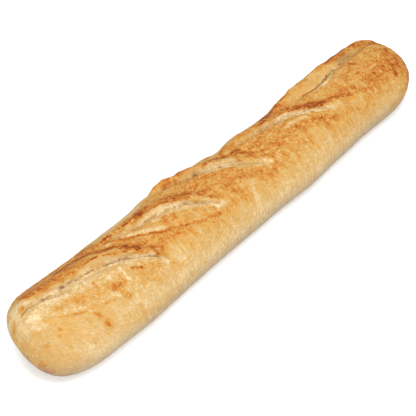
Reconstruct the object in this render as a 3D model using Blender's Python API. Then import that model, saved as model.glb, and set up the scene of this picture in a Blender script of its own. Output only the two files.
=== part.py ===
# A long sourdough loaf baked on a flat stone: a round-shouldered batard with blunt ends,
# a flat sole, and five slanting slashes that opened in the oven and left a raised ear
# of crust along the far side of each.
#
# The loaf lies along X on its flat sole at Z = 0. Its blunter, wider end is at -X, and
# the open mouths of the slashes face -Y.

import math

import bmesh
import bpy
import numpy as np
from mathutils import Vector
from mathutils.geometry import delaunay_2d_cdt

MM = 0.001

# Driving dimensions of the whole loaf.
LENGTH = 450 * MM
WIDTH = 78.4 * MM
HEIGHT = 54.5 * MM            # of the plain body, before the ears rise above it
TAPER = 0.11                  # how much narrower the +X end is than the -X end
WIDEST_AT = 0.43              # height of the widest level, as a share of HEIGHT
SOLE_SINK = 1.2 * MM          # how far the round underside is flattened by the stone
SHOULDER_POWER = 2.15         # 2 is an ellipse, more is squarer: above the widest level
FLANK_POWER = 3.0             # the same below it

# Each end rounds off over its reach; a higher power makes a blunter nose. Over the last
# NOSE_REACH the nose also turns toward +Y, lifts, and rolls over with its top toward +Y.
WIDE_END = {"reach": 50 * MM, "side power": 2.2, "top power": 2.55, "under power": 2.55,
            "turn": 2.7 * MM, "lift": 4.8 * MM, "roll": 7.5 * MM}
SLIM_END = {"reach": 51 * MM, "side power": 2.85, "top power": 2.95, "under power": 1.7,
            "turn": 0.0 * MM, "lift": 4.0 * MM, "roll": 0.5 * MM}
NOSE_REACH = 50 * MM

# Gentle swellings and hollows of the hand-shaped dough: (middle in X, reach, amount).
MOUTH_SIDE_SWELLS = ((-132 * MM, 46 * MM, 2.3 * MM), (66 * MM, 26 * MM, 1.6 * MM),
                     (150 * MM, 40 * MM, -2.2 * MM))
EAR_SIDE_SWELLS = ((-62 * MM, 17 * MM, 2.5 * MM), (19 * MM, 11 * MM, -3.4 * MM),
                   (75 * MM, 36 * MM, -2.7 * MM), (130 * MM, 30 * MM, -2.0 * MM),
                   (205 * MM, 24 * MM, 2.2 * MM))
TOP_SWELLS = ((-62 * MM, 17 * MM, 2.1 * MM), (19 * MM, 11 * MM, -2.0 * MM),
              (60 * MM, 30 * MM, -1.8 * MM), (200 * MM, 30 * MM, -1.1 * MM))

# The five slashes. Places are (distance along X, distance round the skin from the crest,
# positive toward -Y). Ear, crease and mouth are bowed lines between one start and one end:
# (how far the line bows from the straight one, where along it the bow is deepest). The rise
# is how high the ear stands in its first part and toward its end.
SLASHES = (
    {"start": (-216 * MM, -3 * MM), "end": (-93 * MM, 30 * MM), "rise": (4.5 * MM, 3.8 * MM),
     "ear": (28.0 * MM, 0.52), "crease": (21.5 * MM, 0.53), "sag": 0.0, "mouth": (15.5 * MM, 0.50)},
    {"start": (-130 * MM, -20 * MM), "end": (-24 * MM, 24 * MM), "rise": (4.5 * MM, 2.4 * MM),
     "ear": (19.5 * MM, 0.60), "crease": (14.5 * MM, 0.65), "sag": 0.0, "mouth": (10.0 * MM, 0.66)},
    {"start": (-59 * MM, -28 * MM), "end": (33 * MM, 18 * MM), "rise": (5.5 * MM, 2.0 * MM),
     "ear": (16.5 * MM, 0.42), "crease": (13.4 * MM, 0.43), "sag": 0.0, "mouth": (12.4 * MM, 0.48)},
    {"start": (10 * MM, -16 * MM), "end": (121 * MM, 17 * MM), "rise": (3.8 * MM, 1.6 * MM),
     "ear": (17.0 * MM, 0.42), "crease": (15.2 * MM, 0.54), "sag": 0.0, "mouth": (6.0 * MM, 0.56)},
    {"start": (74 * MM, -18 * MM), "end": (221 * MM, -14 * MM), "rise": (4.8 * MM, 4.8 * MM),
     "ear": (14.0 * MM, 0.45), "crease": (7.0 * MM, 0.75), "sag": 4.0 * MM, "mouth": (26.0 * MM, 0.62)},
)
SAG_MIDDLE = 0.40             # where along a slash its crease sags toward the mouth
SAG_REACH = 0.13
FALL_FROM = 0.3               # where along a slash its first rise starts to change
FALL_OVER = 0.5               # to the second, and over how much of it
EAR_RUN = 16 * MM             # the crust climbs to the ear's edge over this distance
EAR_LEAN = 1.8 * MM           # the edge leans out over the mouth by this much
EAR_WALL = 4.2 * MM           # least width of the torn face between ear and crease
MOUTH_MIN = 3.0 * MM          # least width of the opened crumb between crease and mouth
CREASE_DEPTH = 2.6 * MM       # where the ear has its first rise, and less where it is lower
CRUMB_SWELL = 1.0 * MM        # the opened crumb bulges a little
BULGE_POWER = 0.8             # below 1, the bulge is fuller than a sine
MOUTH_STEP = 0.6 * MM         # the lower edge of the mouth stands this proud of it,
MOUTH_RISE = 2.0 * MM         # climbs to that over this distance,
MOUTH_LEAD = 0.5 * MM         # starts this far inside the mouth,
MOUTH_FADE = 14 * MM          # and sinks back into the flank over this distance
BOW_FULLNESS = 0.75           # below 1, a bowed line turns away from its ends faster
CLIMB_POWER = 1.4             # above 1, the crust climbs late and steeply to the ear
SPREAD_POWER = 0.6            # below 1, the least widths above are reached sooner
OPENING_SPEED = 2.6           # how soon past its tips a slash reaches its full relief
CREASE_SHARE = 0.32           # share of the crumb's width that slopes up from the crease
NOSE_FADE = 1.6               # how soon past the tips of the loaf the relief is whole

# Fineness of the faceted skin.
ROW_STEP = 5.0 * MM           # between rows of points along the middle of the loaf
NOSE_ROWS = 11                # rows over the rounding of each end
CREST_STEP = 4.3 * MM         # between the points of a row, on top
SOLE_STEP = 6.5 * MM          # and under the loaf
CREST_SHARE = 0.6             # share of the way round that counts as on top
SEAM_GAP = 0.4                # of a step, kept free beside the seam under the loaf
LEAST_POINTS = 8              # in a row
LEAST_SOLE = 9                # samples on the sole in a row that has sole edges
LINE_POINTS = 26              # along each ear, crease and mouth
LINE_CLEARANCE = 2.6 * MM     # no other point lies nearer than this to one of those lines
SAMPLES = 1200                # fine steps used to measure round a cross-section


def smooth_step(t):
    t = np.clip(t, 0, 1)
    return t * t * (3 - 2 * t)


def swells(x, rows):
    return sum(amount * np.exp(-((x - middle) / reach) ** 2) for middle, reach, amount in rows)


def end_share(x, power):
    # 1 along the middle of the loaf, falling to 0 at both tips on a rounded curve.
    share = 1.0
    for end, outward in ((WIDE_END, -x), (SLIM_END, x)):
        past = np.clip((outward - LENGTH / 2 + end["reach"]) / end["reach"], 0, 1)
        share = share * (1 - past ** end[power]) ** (1 / end[power])
    return share


def end_shift(x, name):
    # What the turn, lift or roll of the noses comes to at x.
    wide = smooth_step((-x - LENGTH / 2 + NOSE_REACH) / NOSE_REACH)
    slim = smooth_step((x - LENGTH / 2 + NOSE_REACH) / NOSE_REACH)
    return WIDE_END[name] * wide + SLIM_END[name] * slim


def plain_section(x, angle):
    # Y and Z of the body without slashes. The angle runs from the crest toward -Y.
    side, top, under = (end_share(x, name) for name in ("side power", "top power", "under power"))
    turn, lift, roll = (end_shift(x, name) for name in ("turn", "lift", "roll"))
    size = 1 - TAPER * x / LENGTH
    power = np.where(np.cos(angle) > 0, SHOULDER_POWER, FLANK_POWER)
    across, upward = np.abs(np.sin(angle)), np.cos(angle)
    radius = (across ** power + np.abs(upward) ** power) ** (-1 / power)
    swell = np.where(np.sin(angle) > 0, swells(x, MOUTH_SIDE_SWELLS), swells(x, EAR_SIDE_SWELLS))
    y = (turn + roll * radius * upward
         - np.sign(np.sin(angle)) * (WIDTH / 2 * size + swell) * side * radius * across)
    middle = WIDEST_AT * HEIGHT + lift
    above = ((HEIGHT + lift - middle) * size + swells(x, TOP_SWELLS)) * top
    below = (middle + SOLE_SINK) * under
    z = middle + np.where(upward > 0, above, below) * radius * upward
    return y, np.maximum(z, 0)


def bow(t, peak):
    # A bowed line's share of its full depth: 0 at both ends and 1 at the peak.
    t = np.clip(t, 0, 1)
    lean = peak / (1 - peak)
    return (t ** lean * (1 - t) / (peak ** lean * (1 - peak))) ** BOW_FULLNESS


def slash_lines(slash, x):
    (x_start, v_start), (x_end, v_end) = slash["start"], slash["end"]
    t = (x - x_start) / (x_end - x_start)
    straight = v_start + (v_end - v_start) * t
    spread = bow(t, 0.5) ** SPREAD_POWER
    sag = slash["sag"] * np.exp(-((t - SAG_MIDDLE) / SAG_REACH) ** 2)
    crease = straight + sag - slash["crease"][0] * bow(t, slash["crease"][1])
    ear = straight - slash["ear"][0] * bow(t, slash["ear"][1])
    mouth = straight + slash["mouth"][0] * bow(t, slash["mouth"][1])
    ear = np.minimum(ear, crease - EAR_WALL * spread)
    mouth = np.maximum(mouth, crease + MOUTH_MIN * spread)
    open_share = np.minimum(1, OPENING_SPEED * np.sqrt(np.clip(t * (1 - t), 0, 1)))
    first, last = slash["rise"]
    rise = first + (last - first) * smooth_step((t - FALL_FROM) / FALL_OVER)
    return open_share, rise, ear, crease, mouth


def slash_relief(x, around):
    # How far the slashes push the skin out, and how far the ears lean over.
    out = np.zeros_like(around)
    lean = np.zeros_like(around)
    for slash in SLASHES:
        share, rise, ear, crease, mouth = slash_lines(slash, x)
        width = np.maximum(mouth - crease, MM)
        climb = smooth_step((around - ear + EAR_RUN) / EAR_RUN) ** CLIMB_POWER
        torn = smooth_step((around - ear) / np.maximum(crease - ear, MM))
        floor = smooth_step((around - crease) / (CREASE_SHARE * width))
        beyond = smooth_step((around - mouth + MOUTH_LEAD) / MOUTH_RISE)
        fade = 1 - smooth_step((around - mouth) / MOUTH_FADE)
        bulge = np.sin(math.pi * np.clip((around - crease) / width, 0, 1)) ** BULGE_POWER
        out += share * (rise * climb * (1 - torn)
                        - CREASE_DEPTH * rise / slash["rise"][0] * torn * (1 - floor)
                        + CRUMB_SWELL * floor * (1 - beyond) * bulge
                        + MOUTH_STEP * beyond * fade)
        lean += share * EAR_LEAN * np.exp(-((around - ear) / EAR_LEAN) ** 2)
    return out, lean


def cross_section(x):
    # The slashed loaf's outline at x: distance round the skin from the crest, Y and Z.
    angle = np.linspace(-math.pi, math.pi, SAMPLES + 1)
    y, z = plain_section(x, angle)
    step_y, step_z = np.gradient(y), np.gradient(z)
    length = np.hypot(step_y, step_z) + 1e-9
    around = np.concatenate(([0], np.cumsum((length[1:] + length[:-1]) / 2)))
    around -= around[SAMPLES // 2]
    out, lean = slash_relief(x, around)
    keep = smooth_step(NOSE_FADE * end_share(x, "side power"))
    y = y + keep * (out * step_z + lean * step_y) / length
    z = z + keep * (lean * step_z - out * step_y) / length
    return around, y, np.maximum(z, 0)


def row_stations():
    # X of each row of points: even along the middle, closing up over the rounded ends.
    def nose(end):
        share = np.sin(np.linspace(0, math.pi / 2, NOSE_ROWS + 1))
        past = (1 - share ** end["side power"]) ** (1 / end["side power"])
        return LENGTH / 2 - end["reach"] + end["reach"] * past

    wide, slim = -nose(WIDE_END), nose(SLIM_END)[::-1]
    count = round((slim[0] - wide[-1]) / ROW_STEP)
    return np.concatenate((wide, np.linspace(wide[-1], slim[0], count + 1)[1:-1], slim))


def row_places(around, offset):
    # Where a row's points sit round the skin: closest on top, and staggered row by row.
    fine = np.linspace(around[0], around[-1], SAMPLES)
    step = SOLE_STEP + (CREST_STEP - SOLE_STEP) * np.exp(-(fine / (CREST_SHARE * around[-1])) ** 4)
    total = np.concatenate(([0], np.cumsum(np.diff(fine) / step[1:])))
    count = max(LEAST_POINTS, round(total[-1]))
    marks = (np.arange(1, count) + offset) / count * total[-1]
    return np.interp(marks[marks < total[-1] * (1 - SEAM_GAP / count)], total, fine)


class FlatPattern:
    """The skin unwrapped to a flat sheet that keeps its angles, as a sailor's chart does."""

    def __init__(self):
        self.stations = row_stations()
        self.points, self.edges = [], []
        rings = [cross_section(x) for x in self.stations]
        girths = np.array([around[-1] - around[0] for around, y, z in rings])
        widths = np.array([y.max() - y.min() for around, y, z in rings]) / 2
        steps = np.hypot(np.diff(self.stations), np.diff(widths))
        stretch = girths.max() / ((girths[1:] + girths[:-1]) / 2)
        self.along = np.concatenate(([0], np.cumsum(steps * stretch)))
        self.half = girths.max() / 2

    def add(self, x, places):
        # Adds points at x and those distances round the skin, and gives back the first's number.
        for one_x, place in zip(x, places):
            around = cross_section(one_x)[0]
            edge = around[-1] if place > 0 else -around[0]
            across = self.half * place / edge if edge > MM else self.half * np.sign(place)
            self.points.append(Vector((np.interp(one_x, self.stations, self.along), across)))
        return len(self.points) - len(x)

    def add_line(self, x, places):
        first = self.add(x, places)
        self.edges.extend((i, i + 1) for i in range(first, len(self.points) - 1))

    def wrap(self, point):
        # The place on the loaf of one point of the pattern.
        x = np.interp(point.x, self.along, self.stations)
        around, y, z = cross_section(x)
        place = point.y / self.half * (around[-1] if point.y > 0 else -around[0])
        return x, np.interp(place, around, y), np.interp(place, around, z)


def sole_edges(x):
    # Where the flat sole meets the flanks at x, or nothing past its ends.
    around, y, z = cross_section(x)
    touching = around[z <= 0]
    if len(touching) < LEAST_SOLE:
        return None
    return touching[touching < 0].max(), touching[touching > 0].min()


def lay_out(pattern):
    # The slashes' lines, the sole's edges, the seam under the loaf, then rows of points.
    spacing = (1 - np.cos(np.linspace(0, math.pi, LINE_POINTS))) / 2
    kept = []
    for slash in SLASHES:
        x = slash["start"][0] + (slash["end"][0] - slash["start"][0]) * spacing
        for line in slash_lines(slash, x)[2:]:
            pattern.add_line(x, line)
            kept.extend(zip(x, line))
    sole = [(x, *sole_edges(x)) for x in pattern.stations if sole_edges(x)]
    for side in (1, 2):
        pattern.add_line([row[0] for row in sole], [row[side] for row in sole])
        kept.extend((row[0], row[side]) for row in sole)
    for first_or_last, tip in ((0, -MM), (-1, MM)):
        seam = [cross_section(x)[0][first_or_last] for x in pattern.stations]
        pattern.add_line(pattern.stations, [tip, *seam[1:-1], tip])
    kept = np.array(kept)
    for number, x in enumerate(pattern.stations[1:-1]):
        places = row_places(cross_section(x)[0], 0.5 * (number % 2))
        gaps = [np.hypot(*(kept - (x, place)).T).min() for place in places]
        clear = places[np.array(gaps) > LINE_CLEARANCE]
        pattern.add(np.full(len(clear), x), clear)


def make_loaf():
    # The flat pattern is cut into triangles, wrapped round the loaf and closed at the seam.
    pattern = FlatPattern()
    lay_out(pattern)
    corners, _, triangles, _, _, _ = delaunay_2d_cdt(pattern.points, pattern.edges, [], 0, 0.01 * MM)
    bm = bmesh.new()
    verts = [bm.verts.new(pattern.wrap(corner)) for corner in corners]
    for triangle in triangles:
        bm.faces.new([verts[corner] for corner in triangle])
    bmesh.ops.remove_doubles(bm, verts=bm.verts, dist=0.01 * MM)
    middle = (min(v.co.y for v in bm.verts) + max(v.co.y for v in bm.verts)) / 2
    bmesh.ops.translate(bm, verts=bm.verts, vec=(0, -middle, 0))
    bmesh.ops.recalc_face_normals(bm, faces=bm.faces)
    mesh = bpy.data.meshes.new("loaf")
    bm.to_mesh(mesh)
    bm.free()
    mesh.shade_smooth()
    loaf = bpy.data.objects.new("loaf", mesh)
    bpy.context.scene.collection.objects.link(loaf)
    return loaf


def crust_material():
    material = bpy.data.materials.new("crust")
    material.use_nodes = True
    shader = material.node_tree.nodes["Principled BSDF"]
    shader.inputs["Base Color"].default_value = (0.68, 0.36, 0.11, 1)
    shader.inputs["Roughness"].default_value = 0.6
    shader.inputs["Metallic"].default_value = 0
    return material


for old in list(bpy.data.objects):
    bpy.data.objects.remove(old)
make_loaf().data.materials.append(crust_material())
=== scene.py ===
import math

import bpy
import numpy as np
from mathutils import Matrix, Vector


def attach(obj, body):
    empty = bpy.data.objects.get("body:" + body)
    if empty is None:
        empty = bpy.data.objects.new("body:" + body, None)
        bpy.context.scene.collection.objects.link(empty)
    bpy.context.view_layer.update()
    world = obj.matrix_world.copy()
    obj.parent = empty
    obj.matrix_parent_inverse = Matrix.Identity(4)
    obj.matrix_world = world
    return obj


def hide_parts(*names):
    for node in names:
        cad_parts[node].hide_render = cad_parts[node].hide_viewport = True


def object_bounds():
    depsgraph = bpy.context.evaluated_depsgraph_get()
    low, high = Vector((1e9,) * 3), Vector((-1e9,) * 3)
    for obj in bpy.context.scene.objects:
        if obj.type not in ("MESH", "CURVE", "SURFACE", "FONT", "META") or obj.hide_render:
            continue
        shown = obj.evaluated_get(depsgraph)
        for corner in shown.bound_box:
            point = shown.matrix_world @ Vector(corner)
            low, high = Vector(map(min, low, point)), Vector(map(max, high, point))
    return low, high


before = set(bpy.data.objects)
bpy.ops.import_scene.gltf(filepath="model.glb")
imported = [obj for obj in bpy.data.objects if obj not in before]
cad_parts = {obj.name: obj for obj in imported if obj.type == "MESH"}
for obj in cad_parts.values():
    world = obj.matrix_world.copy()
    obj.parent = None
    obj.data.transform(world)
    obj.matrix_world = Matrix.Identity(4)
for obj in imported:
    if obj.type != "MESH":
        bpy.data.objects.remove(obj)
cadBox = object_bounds()
mm = 0.001

# The loaf lies along X on its flat sole. Its wider, blunter end is at -X, and the slashes open
# toward -Y. "around" is always the distance round the skin from the crest, positive toward -Y.
loaf = {
    "length": 450 * mm,
    "width": 78.4 * mm,
    "height": 54.5 * mm,  # of the plain body under the ears
    "taper": 0.11,  # the +X end is this much slimmer
    "widestAt": 0.43,  # share of the height
    "soleSink": 1.2 * mm,
    "shoulderPower": 2.15,  # 2 is an ellipse, more is squarer
    "flankPower": 3,
    # how each end closes: over what reach, how squarely at the sides, on top and under the widest
    # line, how far its nose turns toward +Y, lifts, and rolls over with its top toward +Y
    "wideEnd": {"reach": 50 * mm, "side": 2.2, "top": 2.55, "under": 2.55,
                "turn": 2.7 * mm, "lift": 4.8 * mm, "roll": 7.5 * mm},
    "slimEnd": {"reach": 51 * mm, "side": 2.85, "top": 2.95, "under": 1.7,
                "turn": 0 * mm, "lift": 4 * mm, "roll": 0.5 * mm},
    "turnReach": 50 * mm,
    # swellings and hollows of the hand-shaped dough: middle in X, reach, amount
    "mouthSideSwells": ((-132, 46, 2.3), (66, 26, 1.6), (150, 40, -2.2)),
    "earSideSwells": ((-62, 17, 2.5), (19, 11, -3.4), (75, 36, -2.7), (130, 30, -2),
                      (205, 24, 2.2)),
    "topSwells": ((-62, 17, 2.1), (19, 11, -2), (60, 30, -1.8), (200, 30, -1.1)),
    "rows": 500,  # of skin points along the loaf
    "rowSpread": 1.07, "noseRows": 1.35,  # more of them go to the rounded ends
    "ringPoints": 180,  # round it
    "samples": 1400,  # fine steps that measure a cross-section
    "crestDensity": 2.2,  # how much closer the points sit on top
    "crestShare": 0.62,  # and over what share of the way round
    "spacingSteps": 801,  # that work this spacing out
    "tipFade": 1.6,  # how soon the slashes count past a tip
}
tipX = loaf["length"] / 2

# Places are (along X, around) in millimetres. The ear's edge, the crease and the mouth's lower edge
# bow between one start and one end: how deep, and where deepest. "sag" is how far the crease hangs
# toward the mouth, "rise" how high the ear stands at first and toward its end, "wall" how baked the
# foot of the torn face is at the slash's start and end, "lip" what its upper edge has more, "crumb"
# how baked the opened dough is, "fresh" the same of its edge along the crease, "crust" the share of
# the torn face that still has crust, and "line" how dark the painted shade in the crease is.
slashes = (
    {"start": (-216, -3), "end": (-93, 30), "rise": (4.5, 3.8), "ear": (28, 0.52),
     "crease": (21.5, 0.53), "sag": 0, "mouth": (15.5, 0.5), "wall": (0.14, 0.08),
     "lip": (0.52, 0.12), "crumb": 0.28, "fresh": 0.1, "crust": 0, "line": 0.54},
    {"start": (-130, -20), "end": (-24, 24), "rise": (4.5, 2.4), "ear": (19.5, 0.6),
     "crease": (14.5, 0.65), "sag": 0, "mouth": (10, 0.66), "wall": (0.24, 0),
     "lip": (0.2, 0.06), "crumb": 0.47, "fresh": 0.08, "crust": 0.2, "line": 0.35},
    {"start": (-59, -28), "end": (33, 18), "rise": (5.5, 2), "ear": (16.5, 0.42),
     "crease": (13.4, 0.43), "sag": 0, "mouth": (12.4, 0.48), "wall": (0.44, 0),
     "lip": (0.28, 0), "crumb": 0.56, "fresh": 0.12, "crust": 0.12, "line": 0.15},
    {"start": (10, -16), "end": (121, 17), "rise": (3.8, 1.6), "ear": (17, 0.42),
     "crease": (15.2, 0.54), "sag": 0, "mouth": (6, 0.56), "wall": (0.42, 0.02),
     "lip": (0.26, 0.04), "crumb": 0.56, "fresh": 0.14, "crust": 0.1, "line": 0.15},
    # the fifth slash's torn face is baked darker, partly painted shade under its ear
    {"start": (74, -18), "end": (221, -14), "rise": (4.8, 4.8), "ear": (14, 0.45),
     "crease": (7, 0.75), "sag": 4, "mouth": (26, 0.62), "wall": (0.3, 0.32),
     "lip": (0.2, 0.4), "crumb": 0.51, "fresh": 0.26, "crust": 0.1, "line": 0.5},
)

cut = {
    "sagMiddle": 0.4, "sagReach": 0.13,  # where along a slash its crease sags
    "fallFrom": 0.3, "fallOver": 0.5,  # where its first rise turns into its second
    "earRun": 16 * mm,  # the crust climbs to the ear over this
    "earLean": 1.8 * mm,  # the ear's edge leans out over the mouth
    "earWall": 4.2 * mm,  # least width of the torn face
    "mouthMin": 3 * mm,  # and of the crumb
    "creaseDepth": 2.6 * mm,
    "crumbSwell": 1 * mm, "swellPower": 0.8,  # below 1, the crumb is flatter on top
    "mouthStep": 0.6 * mm,  # up from the crumb to the crust
    "stepFrom": 0.5 * mm, "stepOver": 2 * mm,
    "mouthFade": 14 * mm,
    # how raggedly each line runs, and over what coarse and fine steps
    "creaseWander": 0.9 * mm, "creaseSteps": (7 * mm, 3 * mm),
    "earWander": 1.1 * mm, "earSteps": (14 * mm, 4 * mm),
    "mouthWander": 1.3 * mm, "mouthSteps": (11 * mm, 4 * mm),
    "riseWander": 0.2, "riseSteps": (15 * mm, 5 * mm),  # the same for how high the ear stands
    "wanderPower": 0.6,  # below 1, it starts soon past the tips
    "bowFullness": 0.75,  # below 1, a line leaves its ends faster
    "climbPower": 1.4,  # above 1, the crust climbs late, steeply
    "speed": 2.6,  # how soon past its tips a slash is open
    "creaseShare": 0.32,  # of the crumb's width slopes up from it
}


def ease(t):
    # 0 up to 0, 1 from 1, and smooth between
    t = np.clip(t, 0, 1)
    return t * t * (3 - 2 * t)


def wander(x, step, seed):
    # a smooth random line between -1 and 1 that changes over about one step
    knots = np.random.default_rng(seed).uniform(-1, 1, int(loaf["length"] / step) + 6)
    place = (np.asarray(x) + tipX) / step + 1
    low = np.clip(np.floor(place).astype(int), 0, len(knots) - 2)
    return knots[low] + (knots[low + 1] - knots[low]) * ease(place - low)


def waver(x, steps, seed, second=0.5):
    # a coarse wandering line with a finer one on it
    return wander(x, steps[0], seed) + second * wander(x, steps[1], seed + 1)


def swells(x, rows):
    return sum(amount * mm * np.exp(-((x / mm - middle) / reach) ** 2)
               for middle, reach, amount in rows)


def endShare(x, power):
    # 1 along the middle of the loaf, falling to 0 at both tips on a rounded curve
    share = 1
    for end, outward in ((loaf["wideEnd"], -x), (loaf["slimEnd"], x)):
        past = np.clip((outward - tipX + end["reach"]) / end["reach"], 0, 1)
        share = share * np.maximum(1 - past ** end[power], 0) ** (1 / end[power])
    return share


def endShift(x, name):
    # what both ends' turn, lift or roll comes to at x
    past = np.stack([outward - tipX for outward in (-x, x)]) / loaf["turnReach"] + 1
    return loaf["wideEnd"][name] * ease(past[0]) + loaf["slimEnd"][name] * ease(past[1])


def plainSections(x, angle):
    # Y and Z of the body without slashes; the angle runs from the crest toward -Y
    side, top, under = endShare(x, "side"), endShare(x, "top"), endShare(x, "under")
    turn, lift, roll = (endShift(x, name) for name in ("turn", "lift", "roll"))
    size = 1 - loaf["taper"] * x / loaf["length"]
    power = np.where(np.cos(angle) > 0, loaf["shoulderPower"], loaf["flankPower"])
    across, upward = np.abs(np.sin(angle)), np.cos(angle)
    radius = (across ** power + np.abs(upward) ** power) ** (-1 / power)
    swell = np.where(np.sin(angle) > 0, swells(x, loaf["mouthSideSwells"]),
                     swells(x, loaf["earSideSwells"]))
    y = (turn + roll * radius * upward
         - np.sign(np.sin(angle)) * (loaf["width"] / 2 * size + swell) * side * radius * across)
    middle = loaf["widestAt"] * loaf["height"] + lift
    above = ((loaf["height"] + lift - middle) * size + swells(x, loaf["topSwells"])) * top
    below = (middle + loaf["soleSink"]) * under
    z = middle + np.where(upward > 0, above, below) * radius * upward
    return y, np.maximum(z, 0)


def bow(t, peak):
    # 0 at both ends of a line and 1 where it is bowed most
    t = np.clip(t, 0, 1)
    lean = peak / (1 - peak)
    return (t ** lean * (1 - t) / (peak ** lean * (1 - peak))) ** cut["bowFullness"]


def slashLines(number, x):
    # how open the slash is at x, how far along it x is, and where its ear, crease and mouth run
    slash = slashes[number]
    (xStart, vStart), (xEnd, vEnd) = slash["start"], slash["end"]
    t = (x / mm - xStart) / (xEnd - xStart)
    straight = vStart + (vEnd - vStart) * t
    spread = bow(t, 0.5) ** cut["wanderPower"]
    sag = slash["sag"] * np.exp(-((t - cut["sagMiddle"]) / cut["sagReach"]) ** 2)

    def line(name, start, side, seed, second=0.5):
        ragged = waver(x, cut[name + "Steps"], 10 * number + seed, second)
        depth, peak = slash[name]
        return (start + side * depth * bow(t, peak)) * mm + cut[name + "Wander"] * spread * ragged

    crease = line("crease", straight + sag, -1, 1)
    ear, mouth = line("ear", straight, -1, 3, 0.4), line("mouth", straight, 1, 5)
    ear = np.minimum(ear, crease - cut["earWall"] * spread)
    mouth = np.maximum(mouth, crease + cut["mouthMin"] * spread)
    share = np.minimum(1, cut["speed"] * np.sqrt(np.clip(t * (1 - t), 0, 1)))
    return share, t, ear, crease, mouth


def openSlashes(x, around):
    # how far the slashes push the skin out, and how far the ears lean over
    out, lean = np.zeros_like(around), np.zeros_like(around)
    for number, slash in enumerate(slashes):
        share, t, ear, crease, mouth = slashLines(number, x)
        width, wall = np.maximum(mouth - crease, mm), np.maximum(crease - ear, mm)
        climb = ease((around - ear + cut["earRun"]) / cut["earRun"]) ** cut["climbPower"]
        torn = ease((around - ear) / wall)
        floor = ease((around - crease) / (cut["creaseShare"] * width))
        beyond = ease((around - mouth + cut["stepFrom"]) / cut["stepOver"])
        fade = 1 - ease((around - mouth) / cut["mouthFade"])
        bulge = np.sin(math.pi * np.clip((around - crease) / width, 0, 1)) ** cut["swellPower"]
        uneven = 1 + cut["riseWander"] * waver(x, cut["riseSteps"], 10 * number + 7)
        first, last = slash["rise"]
        rise = first + (last - first) * ease((t - cut["fallFrom"]) / cut["fallOver"])
        out += share * (rise * mm * uneven * climb * (1 - torn)
                        - cut["creaseDepth"] * rise / first * torn * (1 - floor)
                        + cut["crumbSwell"] * floor * (1 - beyond) * bulge
                        + cut["mouthStep"] * beyond * fade)
        lean += share * cut["earLean"] * np.exp(-((around - ear) / cut["earLean"]) ** 2)
    return out, lean


def rowStations():
    # X of every row of points: even along the middle, closing up over the rounded ends
    step = loaf["length"] * loaf["rowSpread"] / loaf["rows"]

    def nose(end):
        count = round(end["reach"] * loaf["noseRows"] / step)
        share = np.sin(np.linspace(0, math.pi / 2, count + 1))
        past = (1 - share ** end["side"]) ** (1 / end["side"])
        return tipX - end["reach"] + end["reach"] * past

    wide, slim = -nose(loaf["wideEnd"]), nose(loaf["slimEnd"])[::-1]
    between = loaf["rows"] + 3 - len(wide) - len(slim)
    return np.concatenate((wide, np.linspace(wide[-1], slim[0], between)[1:-1], slim))


def skinPoints():
    # the slashed skin as rows of rings
    x = rowStations()[:, None]
    angle = np.linspace(-math.pi, math.pi, loaf["samples"] + 1)[None, :]
    y, z = plainSections(x, angle)
    stepY, stepZ = np.gradient(y, axis=1), np.gradient(z, axis=1)
    length = np.hypot(stepY, stepZ) + 1e-9
    lengths = np.cumsum((length[:, 1:] + length[:, :-1]) / 2, axis=1)
    around = np.concatenate((np.zeros_like(x), lengths), axis=1)
    around -= around[:, [loaf["samples"] // 2]]
    out, lean = openSlashes(x, around)
    keep = ease(loaf["tipFade"] * endShare(x, "side"))
    y = y + keep * (out * stepZ + lean * stepY) / length
    z = z + keep * (lean * stepZ - out * stepY) / length
    share = np.linspace(-1, 1, loaf["spacingSteps"])
    weight = 1 + loaf["crestDensity"] * np.exp(-(share / loaf["crestShare"]) ** 6)
    total = np.concatenate(([0], np.cumsum((weight[1:] + weight[:-1]) / 2)))
    share = np.interp(np.linspace(0, total[-1], loaf["ringPoints"] + 1), total, share)
    points = []
    for row in range(len(x)):
        places = np.where(share < 0, -share * around[row, 0], share * around[row, -1])
        points.append((np.full_like(places, x[row, 0]), np.interp(places, around[row], y[row]),
                       np.interp(places, around[row], z[row]), places))
    return np.array(points).transpose(0, 2, 1)


def readPoints(piece, what="co"):
    values = np.empty(len(piece.data.vertices) * 3)
    piece.data.vertices.foreach_get(what, values)
    return values.reshape(-1, 3)


def writePoints(piece, places):
    piece.data.vertices.foreach_set("co", np.ascontiguousarray(places).ravel())
    piece.data.update()


def readMask(piece, name):
    values = np.empty(len(piece.data.vertices))
    piece.data.attributes[name].data.foreach_get("value", values)
    return values


def writeMask(piece, name, values):
    mask = piece.data.attributes.get(name) or piece.data.attributes.new(name, "FLOAT", "POINT")
    mask.data.foreach_set("value", np.ascontiguousarray(values, dtype=float))


def wrapSkin():
    # a flat sheet is wrapped round the loaf, one row for each station, and closed underneath
    skin = skinPoints()
    rows, ring = skin.shape[:2]
    bpy.ops.object.select_all(action="DESELECT")
    bpy.ops.mesh.primitive_grid_add(x_subdivisions=rows - 1, y_subdivisions=ring - 1, size=2)
    piece = bpy.context.object
    piece.name = piece.data.name = "crustySkin"
    flat = readPoints(piece)
    row = np.rint((flat[:, 0] + 1) / 2 * (rows - 1)).astype(int)
    point = np.rint((flat[:, 1] + 1) / 2 * (ring - 1)).astype(int)
    writePoints(piece, skin[row, point, :3])
    writeMask(piece, "along", skin[row, point, 0])
    writeMask(piece, "around", skin[row, point, 3])
    bpy.ops.object.mode_set(mode="EDIT")
    bpy.ops.mesh.select_all(action="SELECT")
    bpy.ops.mesh.remove_doubles(threshold=0.01 * mm)
    bpy.ops.mesh.normals_make_consistent(inside=False)
    bpy.ops.object.mode_set(mode="OBJECT")
    bpy.ops.object.shade_smooth()
    return piece


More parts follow.
